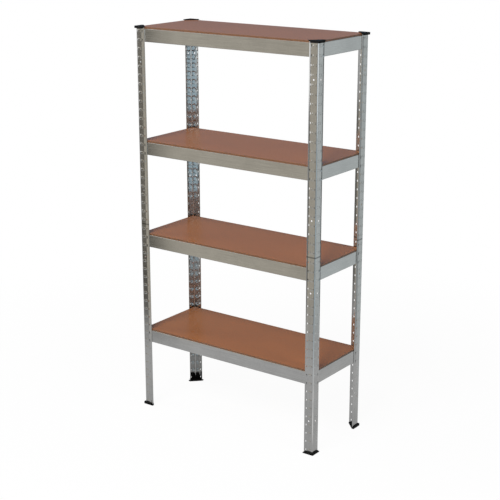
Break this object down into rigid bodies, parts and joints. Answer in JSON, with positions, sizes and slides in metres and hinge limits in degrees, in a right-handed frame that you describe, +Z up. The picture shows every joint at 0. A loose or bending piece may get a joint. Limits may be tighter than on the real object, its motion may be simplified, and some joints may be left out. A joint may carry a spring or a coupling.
{
  "type": "shelving unit",
  "caption": "Freestanding shelving unit of slotted steel angle posts, hooked channel beams and loose fibreboard shelves, with plastic corner caps and feet.",
  "frame": {"origin": "on the floor, under the middle of the unit", "axes": "+Z up, +X along the width towards the unit's right as seen from the front, -Y is the front"},
  "size_m": [0.759, 0.309, 1.4076],
  "materials": {
    "galvanised_steel": "galvanised, satin",
    "fibreboard": "smooth pressed fibreboard, satin",
    "black_plastic": "black, fine grain"
  },
  "bodies": {
    "frame": {"beam_back_bottom": "galvanised_steel", "beam_back_lower": "galvanised_steel", "beam_back_top": "galvanised_steel", "beam_back_upper": "galvanised_steel", "beam_front_bottom": "galvanised_steel", "beam_front_lower": "galvanised_steel", "beam_front_top": "galvanised_steel", "beam_front_upper": "galvanised_steel", "beam_left_bottom": "galvanised_steel", "beam_left_lower": "galvanised_steel", "beam_left_top": "galvanised_steel", "beam_left_upper": "galvanised_steel", "beam_right_bottom": "galvanised_steel", "beam_right_lower": "galvanised_steel", "beam_right_top": "galvanised_steel", "beam_right_upper": "galvanised_steel", "board_top": "fibreboard", "cap_back_left": "black_plastic", "cap_back_right": "black_plastic", "cap_front_left": "black_plastic", "cap_front_right": "black_plastic", "foot_back_left": "black_plastic", "foot_back_right": "black_plastic", "foot_front_left": "black_plastic", "foot_front_right": "black_plastic", "post_back_left_lower": "galvanised_steel", "post_back_left_upper": "galvanised_steel", "post_back_right_lower": "galvanised_steel", "post_back_right_upper": "galvanised_steel", "post_front_left_lower": "galvanised_steel", "post_front_left_upper": "galvanised_steel", "post_front_right_lower": "galvanised_steel", "post_front_right_upper": "galvanised_steel", "splice_back_left": "galvanised_steel", "splice_back_right": "galvanised_steel", "splice_front_left": "galvanised_steel", "splice_front_right": "galvanised_steel"},
    "board_upper": {"board_upper": "fibreboard"},
    "board_lower": {"board_lower": "fibreboard"},
    "board_bottom": {"board_bottom": "fibreboard"}
  },
  "joints": [
    {"name": "board_upper_lift", "type": "slide", "parent": "frame", "child": "board_upper", "axis": [0, 0, 1], "range_m": [0, 0.34]},
    {"name": "board_lower_lift", "type": "slide", "parent": "frame", "child": "board_lower", "axis": [0, 0, 1], "range_m": [0, 0.283]},
    {"name": "board_bottom_lift", "type": "slide", "parent": "frame", "child": "board_bottom", "axis": [0, 0, 1], "range_m": [0, 0.31]}
  ]
}
